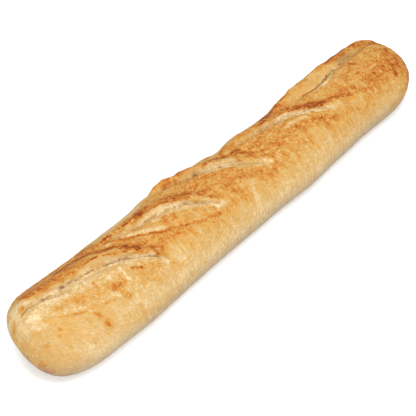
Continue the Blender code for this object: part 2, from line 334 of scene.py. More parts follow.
def grain(x, around, seed, step, aspect=1):
    # smooth random hills between -1 and 1, one step wide along the loaf and aspect times that round it
    halfLength, halfRing = 300 * mm, 160 * mm
    u, v = (x + halfLength) / step, (around + halfRing) / (step * aspect)
    counts = int(2 * halfLength / step) + 3, int(2 * halfRing / (step * aspect)) + 3
    knots = np.random.default_rng(seed).uniform(-1, 1, counts)
    i, j = u.astype(int), v.astype(int)
    s, t = ease(u - i), ease(v - j)
    low = knots[i, j] * (1 - s) + knots[i + 1, j] * s
    high = knots[i, j + 1] * (1 - s) + knots[i + 1, j + 1] * s
    return low * (1 - t) + high * t


def hills(x, around, seed, steps, sizes=(1, 0.5)):
    # coarse grain with a finer one on it
    return sum(size * grain(x, around, seed + i, step)
               for i, (step, size) in enumerate(zip(steps, sizes)))


oven = {
    # how far the skin is baked, from 0 for pale flour to 1 for scorched
    "flank": 0.16,
    "top": 0.44,  # added over the crest
    "crest": 2, "crestReach": 10, "crestFall": 40,  # where round it that is, in millimetres
    "wideEndTop": 0.45,  # share of it that the wide end gets
    "wideEndFrom": -140, "wideEndTo": -100,
    "slimEnd": 0.05, "slimEndFrom": 90, "slimEndOver": 80,  # added toward the slim end, deeper baking there and painted shade where the light falls off
    "nose": 0.24, "noseFrom": 200, "noseOver": 20,  # and on its tip
    "rim": 0.4,  # along the ears' edges
    "sole": 0.42, "soleOver": 5 * mm,
    "heel": 0.34,  # the thin brown line round the sole
    "heelAt": 4 * mm, "heelReach": 1.6 * mm,
}

# Single strokes of this loaf: how baked it is there, half the width, and the points, each along X and
# around, in millimetres. A later stroke covers an earlier one. Those on the ears' backs end sharply at
# the ears' edges, because the torn faces are coloured after them.
earMarks = (
    (0.46, 5, -211, -24, -205, -30, -203, -36), (0.5, 3.5, -68, -30, -56, -31),
    # the pale stroke from -110 to -76 is painted light on the ear's back, which faces away from the
    # lamps
    (0.64, 6, -205, -29, -180, -34, -150, -34, -130, -30), (0.16, 5, -110, -31, -92, -31, -76, -34),
    (0.76, 5, -200, -18, -190, -20, -170, -22, -155, -23, -140, -22, -132, -16),
    (0.66, 4.2, -132, -16, -120, -6, -110, 4, -100, 14, -95, 20), (0.92, 2.8, -168, -23, -153, -24),
    (0.9, 2.6, -149, -24, -138, -22), (0.84, 2.4, -131, -14, -121, -6, -108, 6),
    (0.6, 5.5, -104, -3, -92, 7, -80, 14), (0.76, 1.8, -98, 12, -92, 19),
    (0.66, 4.4, -92, -22, -76, -22, -66, -18), (0.6, 3, -40, -27, -28, -28, -14, -24, 3, -18),
    (0.56, 3.2, 22, -21, 40, -23, 60, -23), (0.52, 3.6, 112, -30, 140, -31, 170, -32, 200, -30),
    (0.34, 5, 121, 13, 133, 14), (0.2, 7.5, -86, 25, -82, 34),
)
innerMarks = (
    # first slash
    (0.08, 4, -214, -13, -216, -5, -221, -8), (0.12, 3, -212, 8, -207, 14),
    (0.72, 2, -192, -16, -183, -17, -174, -18), (0.5, 2.4, -163, -14, -157, -12),
    (0.36, 2.4, -145, -7.5, -138, -4), (0.8, 3, -160, -24, -150, -24),
    (0.74, 1.6, -117, 3, -108.5, 9.5, -102, 15), (0.72, 1.2, -126, -19.5, -118.6, -18),
    (0.66, 1.6, -118, -14.5, -111, -12.5), (0.14, 3.6, -219, 2, -218, 7),
    (0.42, 5, -126, 25, -112, 30), (0.06, 2.4, -123, 10, -115, 10, -104, 16.5),
    (0.13, 2.8, -113, 23, -103, 25.5, -98, 29), (0.72, 2.2, -170, -16, -153, -16.5),
    (0.14, 3, -211, -12, -194, -10), (0.44, 4.6, -130, 16, -116, 22, -104, 27),
    (0.48, 4, -143, 22, -143, 30), (0.62, 1.8, -163, -14, -160, -13.5),
    (0.44, 2.6, -190, 6, -178, 7), (0.53, 4.6, -176, 8, -168, 11, -160, 14),
    (0.6, 1.1, -156, 5, -156, 12), (0.62, 4, -149, 16, -138, 20), (0.66, 1.6, -144, 18, -139, 20),
    (0.64, 1, -137, 14, -137, 20), (0.84, 1.2, -124, 15, -120, 18.5, -118, 20),
    (0.66, 0.9, -115, 16, -114, 20),
    (0.6, 1.2, -190, 14.5, -178, 18.5, -168, 21, -158, 24, -150, 27, -140, 31),
    (0.44, 1, -213, 4, -203, 9.5, -193, 13.5),
    (0.2, 4.2, -211, 5, -203, 3, -190, -2, -175, -4, -160, -4), (0.03, 2.6, -212, 3, -206, 6),
    (0.08, 2.4, -199, -5, -178, -2), (0.1, 2.2, -169, -4, -161, -1), (0.12, 1.4, -132, 8, -132, 20),
    # the flank under it
    (0.37, 5.5, -166, 15, -167, 26, -168, 41), (0.36, 9, -222, 30, -214, 42, -208, 58),
    (0.56, 3.4, -171, 30, -167.5, 39), (0.82, 1, -172, 24, -169, 29, -170, 34, -167.5, 40),
    (0.34, 9, -198, 26, -180, 34), (0.54, 1.4, -214, 27, -213.5, 28),
    (0.54, 1.2, -203, 26, -203, 27), (0.48, 1.2, -202, 38, -201, 38.5),
    (0.54, 1.3, -200, 22, -199, 22), (0.42, 1.4, -172, 43, -170, 43), (0.46, 1, -149, 42, -149, 46),
    (0.42, 1.2, -213, 50, -212, 50), (0.62, 0.9, -87, 38, -86, 38.5), (0.36, 0.7, -92, 39, -76, 37),
    (0.42, 5, -222, 38, -219, 52, -212, 64), (0.76, 2.6, -224, 33, -222, 46, -216, 60),
    (0.28, 6, -206, 46, -202, 52), (0.27, 7, -160, 48, -145, 51, -130, 55, -100, 58),
    (0.19, 7, -90, 60, -70, 60),
    # second slash
    (0.77, 3.3, -67, -17.4, -57, -12.6, -48, -8.4, -40, -3.8, -31, 2, -25, 7.5),
    (0.86, 2.4, -92, -18.7, -83, -19.6, -77, -19.1), (0.66, 1.6, -127, -23, -124, -22),
    (0.62, 1.6, -106, -20, -102, -20), (0.14, 1.6, -104, -9.5, -96, -5.5, -88, -0.5, -80, 5),
    (0.88, 1.1, -112, -11, -108.6, -9.1, -100, -4.1, -91.5, 1, -83.5, 6.5, -79, 9),
    (0.82, 1.2, -79, 9, -72.6, 11.8, -63.5, 16.4, -53.4, 20.3, -45, 22.5, -33, 25),
    (0.58, 5, -76, -1, -70, 2), (0.52, 3.4, -58, 5, -53, 8), (0.6, 4, -80, 14, -70, 16),
    (0.08, 2.6, -30, 18, -19, 20), (0.4, 4.6, -76, 22, -67, 28), (0.54, 3, -50, 24, -42, 27),
    (0.15, 1.8, -72, -12.5, -62, -9, -54, -4.5, -46, 0.5, -36, 7.5, -30, 12),
    (0.16, 2.2, -80, -6, -68, -3, -57, 2, -46, 6, -37, 11.5, -31, 16),
    # third slash
    (0.86, 3, -6, -21, 1, -19.8, 10, -17.5, 18, -13.2, 24, -8, 29, -2),
    (0.72, 1.4, -46, -31.5, -40, -32.7, -33, -32, -27, -31.4, -16, -28),
    (0.76, 2.8, -33, -10, -26, -8.5), (0.74, 2.4, -14, -3.5, -6, -0.5),
    (0.12, 2.1, -12, -12, -4, -8.4, 5, -5, 12.7, -1.5, 20, 3, 27, 8.5, 34, 13),
    (0.1, 0.8, 15.5, -10, 16.5, -10), (0.1, 0.8, 21.5, -8, 22.5, -8),
    (0.56, 3.4, -29, -12, -18, -8, -8, -1), (0.58, 2.4, 2, 3, 8, 6),
    (0.62, 1.6, -19.5, -19.3, -19, -17), (0.66, 1.2, -28, -2, -19, 2, -9, 6, 1.5, 10.8, 14, 16),
    (0.48, 4, -20, 5, -15, 24), (0.3, 1.6, -32, -4, -27, -8), (0.34, 4, 13, 3, 22, 8, 29, 14),
    (0.7, 2, 6, 15, 11, 15), (0.66, 2.2, 23, 18.5, 28, 18.5), (0.08, 2.4, 32, 14, 36, 16),
    (0.14, 2.6, 5, 20, 5, 33), (0.14, 2.2, 4, 34, 0, 55), (0.3, 3.4, -10, 40, -10, 45),
    *((0.36, 1.4, x, 30, x, 40) for x in (-43, -33, -25, -12, -2)),
    # fourth slash
    (0.9, 2.8, 82, -19, 86, -16, 91, -11, 99.5, -5.6, 109, 0.4, 117, 4.4, 124, 6),
    (0.97, 2.2, 68, -23, 73, -23.5, 79, -23), (0.66, 3.4, 72, -19, 84, -20.5, 96, -21),
    (0.3, 4.5, 88, 19, 95, 24, 100, 31),
    (0.08, 2.1, 77, -12.4, 84, -10.5, 89.5, -7, 96, -0.2, 105, 4.8, 113.4, 10),
    (0.15, 2, 113, 9.5, 122, 14, 128, 15), (0.2, 1.5, 72, 0.7, 81, 0.8, 88, 3.2, 94, 4.6),
    (0.26, 6, 60, 36, 80, 38, 100, 38), (0.76, 2.2, 81, 6, 84, 7), (0.7, 2, 88, 10, 90, 10),
    (0.74, 1.6, 95, 10, 102, 14.5, 109, 16), (0.82, 1.4, 20, -17, 22, -14, 25, -12),
    (0.66, 1.4, 41, 1, 43, 1), (0.66, 1.4, 51, 3, 53, 3), (0.66, 1.4, 58, 5, 60, 5),
    (0.28, 1.8, 57, 18, 57, 28), (0.48, 1, 59, 28, 59, 36), (0.42, 1.4, 83, 32, 83, 35),
    (0.5, 1.4, 47, 18, 47, 24), (0.46, 1.4, 26, 20, 26, 28),
    # fifth slash
    (0.98, 1.1, 116, -17.5, 121, -16.4, 128, -15, 137, -15.2, 144, -17, 150, -20.5),
    (0.1, 1.8, 123, -11.5, 131.6, -10, 141.4, -10.8, 150, -15, 155.6, -19.5),
    (0.82, 1.3, 160, -29, 178, -27, 191, -25, 208, -21.5, 214, -11), (0.84, 1.6, 172, -11, 174, -7),
    (0.7, 2.8, 168, 4, 172, 11, 176, 18), (0.66, 2.4, 191, 4.4, 198, 8, 199, 14),
    (0.72, 2.2, 139, 7, 147, 9, 153, 11), (0.78, 2, 122, 5.5, 130, 7.5, 137, 11, 143, 14),
    (0.66, 2.2, 105, 18.7, 112, 20), (0.46, 5.5, 219, -8, 219, 22, 213, 44, 200, 62),
    (0.52, 2.2, 114, -27, 128, -26.5), (0.4, 2.6, 112, -22.5, 128, -22, 140, -22.5),
    (0.84, 2.2, 211, -14, 216, -9), (0.16, 1.3, 150, -8, 152, -8),
    (0.66, 1, 170, -9, 160, -2, 150, 2), (0.74, 1.8, 203, -4, 208, -3), (0.64, 2.8, 191, 8, 209, 8),
    (0.66, 1.5, 130, 20, 130, 22), (0.4, 3, 156, 8, 161, 16),
    (0.94, 1.7, 200.5, 18, 199, 22, 196, 27), (0.86, 1.5, 219.5, 6, 219.5, 16, 217.5, 26),
    (0.54, 1.4, 178, 33, 179, 33), (0.54, 1.4, 158, 35, 159, 35), (0.54, 1.4, 150, 32, 151, 32),
    (0.2, 1.5, 178, 26, 178, 28), (0.2, 1.5, 168, 24, 168, 26),
    # silhouettes of the ears
    (0.97, 2.8, 69, -29, 77, -32), (0.97, 2.2, 70, -26.5, 76, -27),
    (0.8, 2.2, 78, -26.5, 91, -23.5), (0.7, 2.6, 4, -32.5, 14, -32),
    (0.76, 2.2, -37, -31.5, -30, -31), (0.9, 2.6, -169, -24, -156, -27.5),
    (0.97, 3, 168, -30.5, 182, -29), (0.9, 2.8, 214, -15, 218, -9),
    # rim of the far nose
    (1, 3.2, 220.5, 13, 220, 18, 218.5, 24), (0.76, 3.4, 216, 28, 214, 33, 210, 40),
    (0.54, 4, 206, 40, 201, 46), (0.4, 6, 196, 49, 184, 52),
    # paler and darker places on the ears and between them
    (0.16, 2, -8, -15.5, 0, -12.8, 8, -9.8, 14, -6), (0.4, 1.6, 18, -3, 25, 4),
    (0.4, 2.8, -74, -25, -68, -19), (0.46, 2.8, -86, 9, -80, 12), (0.44, 2.6, -50, -22, -45, -23),
    (0.62, 1.6, -40, -35, -35, -34.5), (0.36, 2.8, -95, -26.5, -87, -24),
    (0.72, 2.8, -32, -7, -22, -9.6, -10, -6), (0.32, 4, 2, 18, 13, 22, 14, 29),
    (0.36, 2.6, 184, -22.5, 191, -22), (0.42, 4, 58, 14, 62, 22),
    (0.4, 5, 124, 20, 137, 21, 153, 25), (0.34, 2.4, -100, -16.5, -95, -15),
    (0.68, 2.4, -71, 0, -66, 3), (0.48, 1.8, -43, 1, -39, 3), (0.32, 1.6, -38, 5.5, -34, 8.5),
    (0.24, 1.4, -31, 13.5, -29, 15), (0.7, 2.4, 24, -22.5, 28, -21), (0.24, 1.6, 29, 13, 33, 15),
    (0.48, 2.4, 100, -22, 107, -22), (0.56, 2.4, -31, 5.5, -26, 7.5),
    (0.46, 2.4, -67, 19, -62, 20.5), (0.38, 3, -58, 25, -51, 26),
    (0.4, 2.4, -128, -5.5, -122, -4.5), (0.26, 2, -121, 3.5, -116, 4.5),
    (0.26, 3.4, -156, 28, -148, 30), (0.24, 5, -184, 34, -176, 36), (0.42, 3, 75, 18, 81, 19),
    (0.3, 3.4, 88, 27, 95, 29), (0.34, 2.6, 137, -27, 145, -25.5), (0.4, 2.6, 113, -29, 120, -28),
    (0.4, 2.4, 151, -10, 158, -9.5), (0.6, 1.6, 205, -20.5, 212, -20),
    (0.22, 2, -156, -10, -151, -8.5), (0.34, 2.4, -174, 0, -168, 1),
    (0.58, 2, -172, -15.5, -167, -15.5), (0.18, 2, -155, 1, -150, 2),
    (0.6, 2, -153, -14.5, -147, -14.5), (0.54, 1.4, -219, -6, -223, -2),
)

# holes and cracks where the dough tore deepest, dented and darkened with painted shade, some long and
# soft as painted shadows on the torn faces: place, half length and width, turn and strength
holes = (
    (-174, -12, 2.2, 0.8, 0, 0.7), (-168, -11.5, 1.5, 0.7, 10, 0.6), (-152, -7, 2, 0.9, 20, 0.25),
    (-142, -3, 1.6, 0.8, 25, 0.3), (-136, -1, 1.6, 0.7, 20, 0.4), (-125, 2, 1.5, 0.8, 20, 0.6),
    (-18.5, -21.5, 2, 1.2, 10, 1), (14, -3, 1.5, 0.6, 35, 0.5), (84, 3, 1.2, 0.6, 20, 0.5),
    (72, -24.5, 4, 1.5, 10, 1), (137, -15.2, 2.2, 1.2, 20, 1), (-170, -11.5, 14, 0.8, 9, 0.4),
    (-132, -1, 12, 0.7, 27, 0.35), (172, -22, 1.4, 0.9, 0, 0.8), (176, -22.5, 1.2, 0.8, 0, 0.8),
    (176, -24.5, 9, 1.8, 3, 0.4), (182, -22.5, 8, 1.1, 5, 0.2), (200, -19, 5, 0.9, 10, 0.35),
)


stroke = {
    "wobble": (1.1, 0.7),  # coarse and fine raggedness, millimetres
    "wobbleAlong": (3.4 * mm, 1.7 * mm),  # and its steps
    "wobbleAround": (3 * mm, 1.7 * mm),
    "steadyUnder": 3,  # thinner strokes wobble less
    "most": 0.92, "press": 1.1, "edgePower": 1.2,  # how solid and how sharp a stroke is
}


def brush(x, around, bake, rows):
    # draws soft, slightly ragged strokes one over another
    wobbleX = hills(x, around, 51, stroke["wobbleAlong"], stroke["wobble"])
    wobbleV = hills(x, around, 53, stroke["wobbleAround"], stroke["wobble"])
    for target, halfWidth, *line in rows:
        points = list(zip(line[::2], line[1::2]))
        nearest = np.full_like(x, 1e6)
        ragged = min(1, halfWidth / stroke["steadyUnder"])
        u, v = x / mm + ragged * wobbleX, around / mm + ragged * wobbleV
        for (x0, v0), (x1, v1) in zip(points, points[1:]):
            along, across = x1 - x0, v1 - v0
            share = np.clip(((u - x0) * along + (v - v0) * across) / (along ** 2 + across ** 2), 0, 1)
            nearest = np.minimum(nearest, (u - x0 - share * along) ** 2
                                 + (v - v0 - share * across) ** 2)
        cover = stroke["press"] * np.exp(-(nearest / halfWidth ** 2) ** stroke["edgePower"])
        bake = bake + (target - bake) * np.minimum(stroke["most"], cover)
    return bake


tear = {
    # how the torn faces and the crumb are coloured into one another
    "ragged": 0.9 * mm, "raggedSteps": (3.5 * mm, 1.8 * mm),
    "opening": 1.5,  # how soon past its tips a slash shows torn dough
    "wallFrom": 0.3 * mm, "wallOver": 1.6 * mm,  # from the ear's crust to the torn face
    "crumbTo": 1.2 * mm, "crumbOver": 2.4 * mm, "crumbRagged": 1.6,  # from the crumb to the crust
    "crustFull": 4,  # how soon crust is left on the face
    "patches": 0.08, "patchSteps": (5 * mm, 2.2 * mm),  # uneven baking of the torn face
    "lipOver": 0.7, "lipRagged": 0.2,  # share of the face under the ear's edge
    "freshFrom": 1.2 * mm, "freshOver": 3 * mm, "freshRagged": 2.2, "freshShare": 0.85,
    "rimAt": 0.7 * mm, "rimReach": 1.1 * mm, "rimRagged": 0.4,  # the brown line on the ear's edge
    "rimWander": 0.6, "rimStep": 6 * mm, "rimMost": 1.5,
    "lineFrom": 0.3,  # how open a slash is where its crease begins
}


def mouthZones(x, around):
    # where the torn faces and the crumb are, how far both are baked, and the ears' edges and creases
    names = ("wall", "crumb", "fromCrease", "wallBake", "crumbBake", "rim", "line")
    zones = {name: np.zeros_like(x) for name in names}
    zones["fromCrease"] += 1
    ragged = tear["ragged"] * hills(x, around, 41, tear["raggedSteps"], (1, 1))
    patchy = hills(x, around, 43, tear["patchSteps"])
    for number, slash in enumerate(slashes):
        share, t, ear, crease, mouth = slashLines(number, x)
        inside = ease(share * tear["opening"])
        width = np.maximum(crease - ear, mm)
        lipEdge = ear + slash["crust"] * width * ease(tear["crustFull"] * t)
        below = (around - lipEdge + tear["wallFrom"] + ragged) / tear["wallOver"]
        wall = inside * ease(below) * (around < crease)
        past = (around - mouth + tear["crumbTo"] + tear["crumbRagged"] * ragged) / tear["crumbOver"]
        crumb = inside * (around >= crease) * (1 - ease(past))
        deep = np.clip((around - lipEdge) / np.maximum(crease - lipEdge, mm), 0, 1)
        foot, lip = (slash[name][0] + (slash[name][1] - slash[name][0]) * ease(t)
                     for name in ("wall", "lip"))
        lip = lip * (1 - ease((deep + tear["lipRagged"] * patchy) / tear["lipOver"]))
        wallBake = foot + tear["patches"] * patchy + lip
        fresh = around - crease + tear["freshRagged"] * ragged - tear["freshFrom"]
        fresh = 1 - ease(fresh / tear["freshOver"])
        crumbBake = slash["crumb"] + tear["freshShare"] * fresh * (slash["fresh"] - slash["crumb"])
        for name, cover, bake in (("wall", wall, wallBake), ("crumb", crumb, crumbBake)):
            zones[name] = np.maximum(zones[name], cover)
            zones[name + "Bake"] = np.where(cover > 0, bake, zones[name + "Bake"])
        edge = 1 + tear["rimWander"] * wander(x, tear["rimStep"], 10 * number + 9)
        off = (around - lipEdge + tear["rimAt"] + tear["rimRagged"] * ragged) / tear["rimReach"]
        zones["rim"] += inside * np.clip(edge, 0, tear["rimMost"]) * np.exp(-off ** 2)
        near = (inside > tear["lineFrom"]) & (np.abs(around - crease) < np.abs(zones["fromCrease"]))
        zones["fromCrease"] = np.where(near, around - crease, zones["fromCrease"])
        zones["line"] = np.where(near, slash["line"], zones["line"])
    return zones


def bakeSkin(x, around, z, zones):
    # how baked every point is: crust, ear strokes, torn faces and crumb, inner strokes, and sole
    u, v = x / mm, around / mm
    top = 1 - ease((np.abs(v - oven["crest"]) - oven["crestReach"]) / oven["crestFall"])
    along = ease((u - oven["wideEndFrom"]) / (oven["wideEndTo"] - oven["wideEndFrom"]))
    top *= oven["wideEndTop"] + (1 - oven["wideEndTop"]) * along
    slim = ease((u - oven["slimEndFrom"]) / oven["slimEndOver"])
    nose = ease((u - oven["noseFrom"]) / oven["noseOver"])
    bake = oven["flank"] + oven["top"] * top + oven["slimEnd"] * slim
    bake += oven["nose"] * nose + oven["rim"] * zones["rim"]
    bake = brush(x, around, bake, earMarks)
    for name in ("wall", "crumb"):
        bake += zones[name] * (zones[name + "Bake"] - bake)
    bake = brush(x, around, bake, innerMarks)
    under = 1 - ease(z / oven["soleOver"])
    heel = np.exp(-((z - oven["heelAt"]) / oven["heelReach"]) ** 2)
    return bake + under * (oven["sole"] - bake) + oven["heel"] * heel


relief = {
    "lumps": 0.55 * mm,  # unevenness of the hand-shaped dough
    "lumpSteps": (42 * mm, 17 * mm),
    "ripples": 0.18 * mm, "rippleStep": 7 * mm,
    "pleats": 0.22 * mm, "pleatStep": (9 * mm, 0.16),  # long folds of the torn walls
    "fibres": 0.35 * mm, "fibreStep": (2.6 * mm, 0.8),  # stretched strands of the opened dough
    "fibreSlant": 0.5,
    "soleFade": 14 * mm,  # below this height all of it dies away
    "crumbPebbles": (0.6 * mm, 2.4 * mm, 2),  # height, size and detail
    "crustPebbles": (0.2 * mm, 2 * mm, 1),
    "pebbleLevels": 20,
    "blisters": 520, "blisterHeight": 0.4 * mm,
    "blisterZone": (26, 52),  # from few to all, millimetres up the loaf
    "blisterSize": (0.7, 1.5), "blisterRound": (0.8, 1), "blisterFaint": 0.3, "mostOpened": 0.3,
    "pitsPerSlash": 16, "pitDepth": 0.8 * mm,
    "pitPlaces": (0.15, 0.85),  # share of the way along the slash
    "pitOff": (-0.6, 0.4), "pitSize": (0.5, 0.8), "pitLong": (1, 2),
    "pitTurn": (5, 35), "pitStrength": (0.25, 0.75),
}


def pushOut(piece, amounts):
    # moves every point along its own normal
    writePoints(piece, readPoints(piece) + readPoints(piece, "normal") * amounts[:, None])


def sprinkle(x, around, rows):
    # soft spots, round or long, with rows like those of the holes
    total = np.zeros_like(x)
    for along, across, halfLength, halfWidth, turn, strength in rows:
        cos, sin = math.cos(math.radians(turn)), math.sin(math.radians(turn))
        u = ((x - along) * cos + (around - across) * sin) / halfLength
        v = ((around - across) * cos - (x - along) * sin) / halfWidth
        total += strength * np.exp(-(u * u + v * v))
    return total


def roughen(piece):
    # lumps, folds, blisters and holes, and the masks for the crust's colours
    rng = np.random.default_rng(5)
    x, around = readMask(piece, "along"), readMask(piece, "around")
    z = readPoints(piece)[:, 2]
    aboveSole = ease(z / relief["soleFade"])
    zones = mouthZones(x, around)
    opened = np.maximum(zones["wall"], zones["crumb"])
    for name in ("wall", "crumb", "fromCrease", "line"):
        writeMask(piece, name, zones[name])

    # small round blisters stand on the upper crust
    spots = []
    while len(spots) < relief["blisters"]:
        pick = rng.integers(len(x))
        if z[pick] > rng.uniform(*relief["blisterZone"]) * mm and opened[pick] < relief["mostOpened"]:
            size = rng.uniform(*relief["blisterSize"]) * mm
            spots.append((x[pick], around[pick], size, size * rng.uniform(*relief["blisterRound"]),
                          rng.uniform(0, 180), rng.uniform(relief["blisterFaint"], 1) ** 2))
    blister = np.clip(sprinkle(x, around, spots), 0, 1) * (1 - opened)
    writeMask(piece, "blister", blister)

    # little holes stand along every crease, beside the ones above
    pits = [(*(size * mm for size in hole[:4]), *hole[4:]) for hole in holes]
    for number, slash in enumerate(slashes):
        for t in rng.uniform(*relief["pitPlaces"], relief["pitsPerSlash"]):
            along = (slash["start"][0] + t * (slash["end"][0] - slash["start"][0])) * mm
            crease = float(slashLines(number, np.array(along))[3])
            size = rng.uniform(*relief["pitSize"]) * mm
            pits.append((along, crease + rng.uniform(*relief["pitOff"]) * mm,
                         size * rng.uniform(*relief["pitLong"]), size,
                         rng.uniform(*relief["pitTurn"]), rng.uniform(*relief["pitStrength"])))
    pit = np.clip(sprinkle(x, around, pits), 0, 1)
    writeMask(piece, "pit", pit)
    writeMask(piece, "bake", bakeSkin(x, around, z, zones))

    lumps = hills(x, around, 1, relief["lumpSteps"])
    ripples = grain(x, around, 3, relief["rippleStep"])
    pleats = zones["wall"] * grain(x, around, 4, *relief["pleatStep"])
    slanted = x + relief["fibreSlant"] * around
    strands = 1 - 2 * np.abs(grain(slanted, around, 9, *relief["fibreStep"]))
    pushOut(piece, aboveSole * (relief["lumps"] * lumps
                                + relief["ripples"] * ripples
                                + relief["pleats"] * pleats
                                + relief["fibres"] * zones["crumb"] * strands)
            + relief["blisterHeight"] * blister - relief["pitDepth"] * pit)
    pebbles(piece, "crumbRough", zones["crumb"], *relief["crumbPebbles"])
    pebbles(piece, "crustRough", aboveSole * (1 - opened), *relief["crustPebbles"])


def pebbles(piece, name, weights, strength, size, depth):
    # roughens the skin as strongly as the weights say
    group = piece.vertex_groups.new(name=name)
    levels = relief["pebbleLevels"]
    steps = np.rint(np.clip(weights, 0, 1) * levels).astype(int)
    for step in range(1, levels + 1):
        group.add(np.flatnonzero(steps == step).tolist(), step / levels, "REPLACE")
    texture = bpy.data.textures.new(name, "CLOUDS")
    texture.noise_scale, texture.noise_depth, texture.noise_basis = size, depth, "ORIGINAL_PERLIN"
    bump = piece.modifiers.new(name, "DISPLACE")
    bump.texture, bump.texture_coords, bump.vertex_group = texture, "LOCAL", name
    bump.strength, bump.mid_level = 2 * strength, 0.5
    bpy.context.view_layer.objects.active = piece
    bpy.ops.object.modifier_apply(modifier=name)


def settle(piece):
    # the skin lies flat on z = 0 and exactly fills the solid's box
    place = readPoints(piece)
    low, high = np.array(cadBox[0]), np.array(cadBox[1])
    place[:, 2] = np.maximum(place[:, 2], 0)
    writePoints(piece, low + (place - place.min(0)) * (high - low) / (place.max(0) - place.min(0)))


piece = wrapSkin()
print("skin wrapped:", len(piece.data.vertices), "points")
roughen(piece)
settle(piece)
print("skin roughened and settled:", len(piece.data.polygons), "faces")


class Wire:
    # a socket of the crust's nodes that can be used in sums
    def __init__(self, finish, socket):
        self.finish, self.socket = finish, socket

    def math(self, operation, first, second=0):
        return self.finish.add("ShaderNodeMath", {"operation": operation}, {0: first, 1: second})

    def __add__(self, other):
        return self.math("ADD", self, other)

    def __sub__(self, other):
        return self.math("SUBTRACT", self, other)

    def __rsub__(self, other):
        return self.math("SUBTRACT", other, self)

    def __mul__(self, other):
        return self.math("MULTIPLY", self, other)

    def __abs__(self):
        return self.math("ABSOLUTE", self)

    __radd__, __rmul__ = __add__, __mul__

    def rise(self, low, high):
        # 0 below low, 1 above high, and smooth between
        return self.finish.add("ShaderNodeMapRange", {"interpolation_type": "SMOOTHSTEP"},
                               {"Value": self, "From Min": low, "From Max": high})

    def clip(self):
        return self.finish.add("ShaderNodeClamp", {}, {"Value": self})


def paint(*colour):
    return (*(((c / 255 + 0.055) / 1.055) ** 2.4 for c in colour), 1)


class Finish:
    # a material and the ways to fill it
    def __init__(self, name):
        self.material = bpy.data.materials.new(name)
        self.material.use_nodes = True
        tree = self.material.node_tree
        self.nodes, self.links, self.shader = tree.nodes, tree.links, tree.nodes["Principled BSDF"]

    def plug(self, socket, value):
        if isinstance(value, Wire):
            self.links.new(value.socket, socket)
        else:
            socket.default_value = value

    def feed(self, name, value):
        self.plug(self.shader.inputs[name], value)

    def add(self, kind, settings, sockets, out=0):
        node = self.nodes.new(kind)
        for name, value in settings.items():
            if name == "stops":
                stops = node.color_ramp.elements
                while len(stops) < len(value):
                    stops.new(0.5)
                for stop, (position, *colour) in zip(stops, value):
                    stop.position, stop.color = position, paint(*colour)
            else:
                setattr(node, name, value)
        for name, value in sockets.items():
            self.plug(node.inputs[name], value)
        return Wire(self, node.outputs[out])

    def mask(self, name):
        return self.add("ShaderNodeAttribute", {"attribute_name": name}, {}, "Fac")

    def speckle(self, place, size, detail, roughness, distortion=0):
        # fractal noise about 0.5, with patches about one size wide
        return self.add("ShaderNodeTexNoise", {},
                        {"Vector": place, "Scale": 1 / size, "Detail": detail,
                         "Roughness": roughness, "Distortion": distortion}, "Fac")

    def mix(self, amount, first, second):
        return self.add("ShaderNodeMix", {"data_type": "RGBA"}, {0: amount, 6: first, 7: second}, 2)


colours = {
    # as a picture editor shows them, from 0 to 255
    "bakeSteps": (  # from floury to scorched
        (0, 230, 206, 164), (0.12, 217, 190, 142), (0.25, 204, 168, 112), (0.38, 202, 160, 94),
        (0.5, 200, 149, 75), (0.62, 193, 132, 60), (0.74, 186, 114, 49), (0.85, 174, 99, 42),
        (0.94, 159, 84, 35), (1, 134, 64, 26)),
    # flour and painted shade on the lower flank
    "lowFlankShadeAndFlour": (159, 146, 125),
    # painted shade in the creases: a broad cast and a thin dark line
    "creaseShade": (160, 122, 78),  # broad, under the thin line
    "creaseShadeLine": (98, 58, 30),
    "heelLine": (128, 96, 60),
    # painted shade in the holes and cracks
    "hole": (104, 56, 28),
    "sole": (170, 124, 74),
}

crustGrain = {
    # how much each mottling changes the bake, its size, and its noise's detail, roughness and twist
    "blotches": (0.42, 7 * mm, 2, 0.5, 0.4),
    "fine": (0.32, 2.6 * mm, 2, 0.55),
    "dust": (0.26, 1 * mm, 2, 0.6),
    "streaks": (0.48, 5 * mm, 3, 0.6),  # run down the flanks
    "wrinkles": (0.16, 2 * mm, 1, 0.5),  # thin upright lines all over the flank
    "threads": (0.14, 4 * mm, 1, 0.5, 0.3),  # fewer and crisper ones
    "strokes": (0.5, 3 * mm, 2, 0.55),  # dashes along the slashes on browned crust
    "strands": (0.2, 3.4 * mm, 1, 0.5, 0.4),  # pale lines among them, painted highlights of glossy bubbles
    "worms": (0.22, 3.4 * mm, 1.5, 0.5, 0.8),  # pale curls everywhere
    # pale flour spots and painted glints
    "specksAndGlints": (0.14, 4.2 * mm), "speckSize": (0.1, 0.18), "speckZone": (0.45, 0.6),
    "middles": {"worms": 0.4, "strands": 0.3},  # where these add nothing, and the others at 0.5
    "blisters": 0.4, "blisterBake": (0.3, 0.6),  # painted highlights: blisters are paler on browned crust
    "least": 0.28, "more": 0.72, "crumb": 0.45,  # on floury skin, and what bake and crumb add
    "streakPull": 0.16,  # how far streaks stretch round the loaf
    "slant": (0.93, 0.37), "slantPull": 0.3,  # and strokes along the slashes
    "hairline": (0.01, 0.05), "thread": (0.02, 0.08),  # how thin the lines are
    "toasted": (0.35, 0.6), "crumbCalm": 0.6,  # from what bake to what the strokes come, less in crumb
    "bluntEnd": (-165 * mm, -130 * mm), "bluntShare": 0.4,  # streaks are weaker here
    "drip": (2 * mm, 12 * mm), "dripEnd": (28 * mm, 46 * mm), "dripLeast": 0.25, "dripMore": 1.1,
    "bump": 1.1 * mm, "bumpShare": 0.9,
    "bumps": (0.6, 0.2, 0.2, 0.2, 0.5),  # from fine, dust, worms, strands, and the specks and glints
    "rough": 0.65, "fineRough": 0.25, "blisterGloss": 0.2, "crumbRough": 0.1, "specular": 0.06,
}

